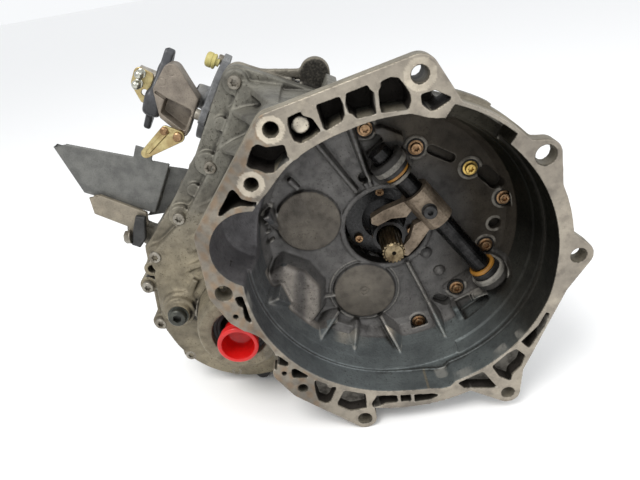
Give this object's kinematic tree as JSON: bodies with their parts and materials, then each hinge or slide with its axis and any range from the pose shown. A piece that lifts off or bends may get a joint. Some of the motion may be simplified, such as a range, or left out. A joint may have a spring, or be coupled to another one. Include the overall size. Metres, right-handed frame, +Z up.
{
  "type": "manual transmission",
  "caption": "Transverse manual transmission: open clutch housing with splined input shaft and release fork, gear casing, selector tower with counterweight lever, and cable bracket.",
  "frame": {"origin": "centre of the input shaft's flat end face, inside the clutch housing's mouth", "axes": "+Y along the input shaft away from the engine, +Z up, +X to the right seen from the engine side"},
  "size_m": [0.5079, 0.364, 0.3888],
  "materials": {
    "cast": "weathered sand-cast, machined faces brighter",
    "cast_dark": "dull grey-olive casting",
    "machined_steel": "satin",
    "gear_steel": "ground and oiled",
    "dark_steel": "oil-blackened",
    "shaft_steel": "tan-tinted machined steel",
    "copper_bolt": "copper-coloured plated bolt",
    "red_plastic": "semi-gloss moulded",
    "zinc_yellow": "yellow zinc plating",
    "yellow_plastic": "moulded",
    "amber_plastic": "moulded bush",
    "bracket_steel": "grey coated sheet",
    "weight_iron": "brownish-grey, lightly rusted"
  },
  "bodies": {
    "case": {"clutch_housing": "cast", "gear_casing": "cast_dark", "end_cover": "cast_dark", "guide_sleeve": "dark_steel", "retainer_bolt_1": "copper_bolt", "retainer_bolt_2": "copper_bolt", "retainer_bolt_3": "copper_bolt", "bearing_input_front": "machined_steel", "bearing_input_rear": "machined_steel", "bearing_output_1_front": "machined_steel", "bearing_output_1_rear": "machined_steel", "bearing_output_2_front": "machined_steel", "bearing_output_2_rear": "machined_steel", "bearing_diff_front": "machined_steel", "bearing_diff_rear": "machined_steel", "drain_plug": "dark_steel", "reverse_switch": "yellow_plastic", "selector_housing": "cast", "breather_cap": "yellow_plastic", "bush_upper": "amber_plastic", "bush_lower": "amber_plastic", "cable_bracket": "bracket_steel", "bracket_plate": "weight_iron", "bracket_bolt": "copper_bolt"},
    "input": {"input_shaft": "shaft_steel"},
    "gear_1": {"gear_1": "gear_steel"},
    "gear_2": {"gear_2": "gear_steel"},
    "gear_3": {"gear_3": "gear_steel"},
    "gear_4": {"gear_4": "gear_steel"},
    "gear_5": {"gear_5": "gear_steel"},
    "gear_6": {"gear_6": "gear_steel"},
    "gear_r": {"gear_reverse": "gear_steel"},
    "output_1": {"output_shaft_1": "gear_steel"},
    "output_2": {"output_shaft_2": "gear_steel"},
    "sleeve_1_2_body": {"sleeve_1_2": "machined_steel"},
    "fork_1_2_body": {"shift_fork_1_2": "machined_steel"},
    "sleeve_3_4_body": {"sleeve_3_4": "machined_steel"},
    "fork_3_4_body": {"shift_fork_3_4": "machined_steel"},
    "sleeve_5_6_body": {"sleeve_5_6": "machined_steel"},
    "fork_5_6_body": {"shift_fork_5_6": "machined_steel"},
    "sleeve_reverse_body": {"sleeve_reverse": "machined_steel"},
    "fork_reverse_body": {"shift_fork_reverse": "machined_steel"},
    "differential": {"differential_case": "cast_dark", "ring_gear": "gear_steel", "pinion_pin": "machined_steel"},
    "side_left": {"side_gear_left": "gear_steel"},
    "side_right": {"side_gear_right": "gear_steel"},
    "planet_a": {"planet_pinion_a": "gear_steel"},
    "planet_b": {"planet_pinion_b": "gear_steel"},
    "release": {"release_shaft": "dark_steel", "release_fork": "machined_steel", "fork_bolt": "copper_bolt"},
    "select_seat": {"spring_seat": "machined_steel"},
    "selector": {"selector_shaft": "machined_steel", "shift_lever": "weight_iron", "lever_plate": "zinc_yellow", "ball_stud_1": "zinc_yellow", "ball_stud_2": "zinc_yellow"},
    "select_arm": {"select_lever": "dark_steel"},
    "plug": {"transport_plug": "red_plastic"}
  },
  "joints": [
    {"name": "input_spin", "type": "hinge", "parent": "case", "child": "input", "pos_m": [0, 0.1672, 0], "axis": [0, 1, 0], "continuous": true},
    {"name": "gear_1_spin", "type": "hinge", "parent": "case", "child": "gear_1", "pos_m": [-0.07724, 0.1672, 0.02266], "axis": [0, 1, 0], "continuous": true},
    {"name": "gear_2_spin", "type": "hinge", "parent": "case", "child": "gear_2", "pos_m": [-0.07724, 0.1672, 0.02266], "axis": [0, 1, 0], "continuous": true},
    {"name": "gear_3_spin", "type": "hinge", "parent": "case", "child": "gear_3", "pos_m": [-0.07724, 0.1672, 0.02266], "axis": [0, 1, 0], "continuous": true},
    {"name": "gear_4_spin", "type": "hinge", "parent": "case", "child": "gear_4", "pos_m": [-0.07724, 0.1672, 0.02266], "axis": [0, 1, 0], "continuous": true},
    {"name": "gear_5_spin", "type": "hinge", "parent": "case", "child": "gear_5", "pos_m": [-0.03185, 0.1672, -0.07202], "axis": [0, 1, 0], "continuous": true},
    {"name": "gear_6_spin", "type": "hinge", "parent": "case", "child": "gear_6", "pos_m": [-0.03185, 0.1672, -0.07202], "axis": [0, 1, 0], "continuous": true},
    {"name": "gear_r_spin", "type": "hinge", "parent": "case", "child": "gear_r", "pos_m": [-0.03185, 0.1672, -0.07202], "axis": [0, 1, 0], "continuous": true},
    {"name": "differential_spin", "type": "hinge", "parent": "case", "child": "differential", "pos_m": [-0.16987, 0.1492, -0.07997], "axis": [0, 1, 0], "continuous": true},
    {"name": "output_1_spin", "type": "hinge", "parent": "case", "child": "output_1", "pos_m": [-0.07724, 0.1672, 0.02266], "axis": [0, 1, 0], "continuous": true},
    {"name": "output_2_spin", "type": "hinge", "parent": "case", "child": "output_2", "pos_m": [-0.03185, 0.1672, -0.07202], "axis": [0, 1, 0], "continuous": true},
    {"name": "fork_1_2_slide", "type": "slide", "parent": "case", "child": "fork_1_2_body", "axis": [0, 1, 0], "range_m": [-0.0035, 0.0035]},
    {"name": "sleeve_1_2_slide", "type": "slide", "parent": "output_1", "child": "sleeve_1_2_body", "axis": [0, 1, 0], "range_m": [-0.0035, 0.0035]},
    {"name": "fork_3_4_slide", "type": "slide", "parent": "case", "child": "fork_3_4_body", "axis": [0, 1, 0], "range_m": [-0.0035, 0.0035]},
    {"name": "sleeve_3_4_slide", "type": "slide", "parent": "output_1", "child": "sleeve_3_4_body", "axis": [0, 1, 0], "range_m": [-0.0035, 0.0035]},
    {"name": "fork_5_6_slide", "type": "slide", "parent": "case", "child": "fork_5_6_body", "axis": [0, 1, 0], "range_m": [-0.0035, 0.0035]},
    {"name": "sleeve_5_6_slide", "type": "slide", "parent": "output_2", "child": "sleeve_5_6_body", "axis": [0, 1, 0], "range_m": [-0.0035, 0.0035]},
    {"name": "fork_reverse_slide", "type": "slide", "parent": "case", "child": "fork_reverse_body", "axis": [0, 1, 0], "range_m": [-0.0035, 0.0035]},
    {"name": "sleeve_reverse_slide", "type": "slide", "parent": "output_2", "child": "sleeve_reverse_body", "axis": [0, 1, 0], "range_m": [-0.0035, 0.0035]},
    {"name": "side_left_spin", "type": "hinge", "parent": "differential", "child": "side_left", "pos_m": [-0.16987, 0.1492, -0.07997], "axis": [0, 1, 0], "continuous": true},
    {"name": "side_right_spin", "type": "hinge", "parent": "differential", "child": "side_right", "pos_m": [-0.16987, 0.1492, -0.07997], "axis": [0, 1, 0], "continuous": true},
    {"name": "planet_a_spin", "type": "hinge", "parent": "differential", "child": "planet_a", "pos_m": [-0.16987, 0.1492, -0.07997], "axis": [1, 0, 0], "continuous": true},
    {"name": "planet_b_spin", "type": "hinge", "parent": "differential", "child": "planet_b", "pos_m": [-0.16987, 0.1492, -0.07997], "axis": [1, 0, 0], "continuous": true},
    {"name": "release_turn", "type": "hinge", "parent": "case", "child": "release", "pos_m": [0.0125, 0.0407, 0.0688], "axis": [0.5573, 0, -0.8303], "range_deg": [-14, 5]},
    {"name": "select_slide", "type": "slide", "parent": "case", "child": "select_seat", "axis": [-0.8492, 0, 0.5281], "range_m": [-0.005, 0.005]},
    {"name": "shift_turn", "type": "hinge", "parent": "select_seat", "child": "selector", "pos_m": [-0.156, 0.1432, 0.136], "axis": [-0.8492, 0, 0.5281], "range_deg": [-10, 10]},
    {"name": "select_arm_turn", "type": "hinge", "parent": "case", "child": "select_arm", "pos_m": [-0.199, 0.0972, 0.12], "axis": [0, 1, 0], "range_deg": [-10, 10]},
    {"name": "plug_pull", "type": "slide", "parent": "case", "child": "plug", "axis": [0, -1, 0], "range_m": [0, 0.07]}
  ],
  "couplings": [
    {"joint": "gear_1_spin", "follows": "input_spin", "ratio": -0.31429},
    {"joint": "gear_2_spin", "follows": "input_spin", "ratio": -0.48387},
    {"joint": "gear_3_spin", "follows": "input_spin", "ratio": -0.7037},
    {"joint": "gear_4_spin", "follows": "input_spin", "ratio": -1},
    {"joint": "gear_5_spin", "follows": "input_spin", "ratio": -1.0455},
    {"joint": "gear_6_spin", "follows": "input_spin", "ratio": -1.3684},
    {"joint": "gear_r_spin", "follows": "input_spin", "ratio": 0.44},
    {"joint": "output_1_spin", "follows": "differential_spin", "ratio": -2.0385},
    {"joint": "output_2_spin", "follows": "differential_spin", "ratio": -2.0385},
    {"joint": "sleeve_1_2_slide", "follows": "fork_1_2_slide", "ratio": 1},
    {"joint": "sleeve_3_4_slide", "follows": "fork_3_4_slide", "ratio": 1},
    {"joint": "sleeve_5_6_slide", "follows": "fork_5_6_slide", "ratio": 1},
    {"joint": "sleeve_reverse_slide", "follows": "fork_reverse_slide", "ratio": 1},
    {"joint": "side_right_spin", "follows": "side_left_spin", "ratio": -1},
    {"joint": "planet_a_spin", "follows": "side_left_spin", "ratio": -1.5294},
    {"joint": "planet_b_spin", "follows": "side_left_spin", "ratio": 1.5294},
    {"joint": "select_arm_turn", "follows": "select_slide", "rad_per_m": -29}
  ]
}
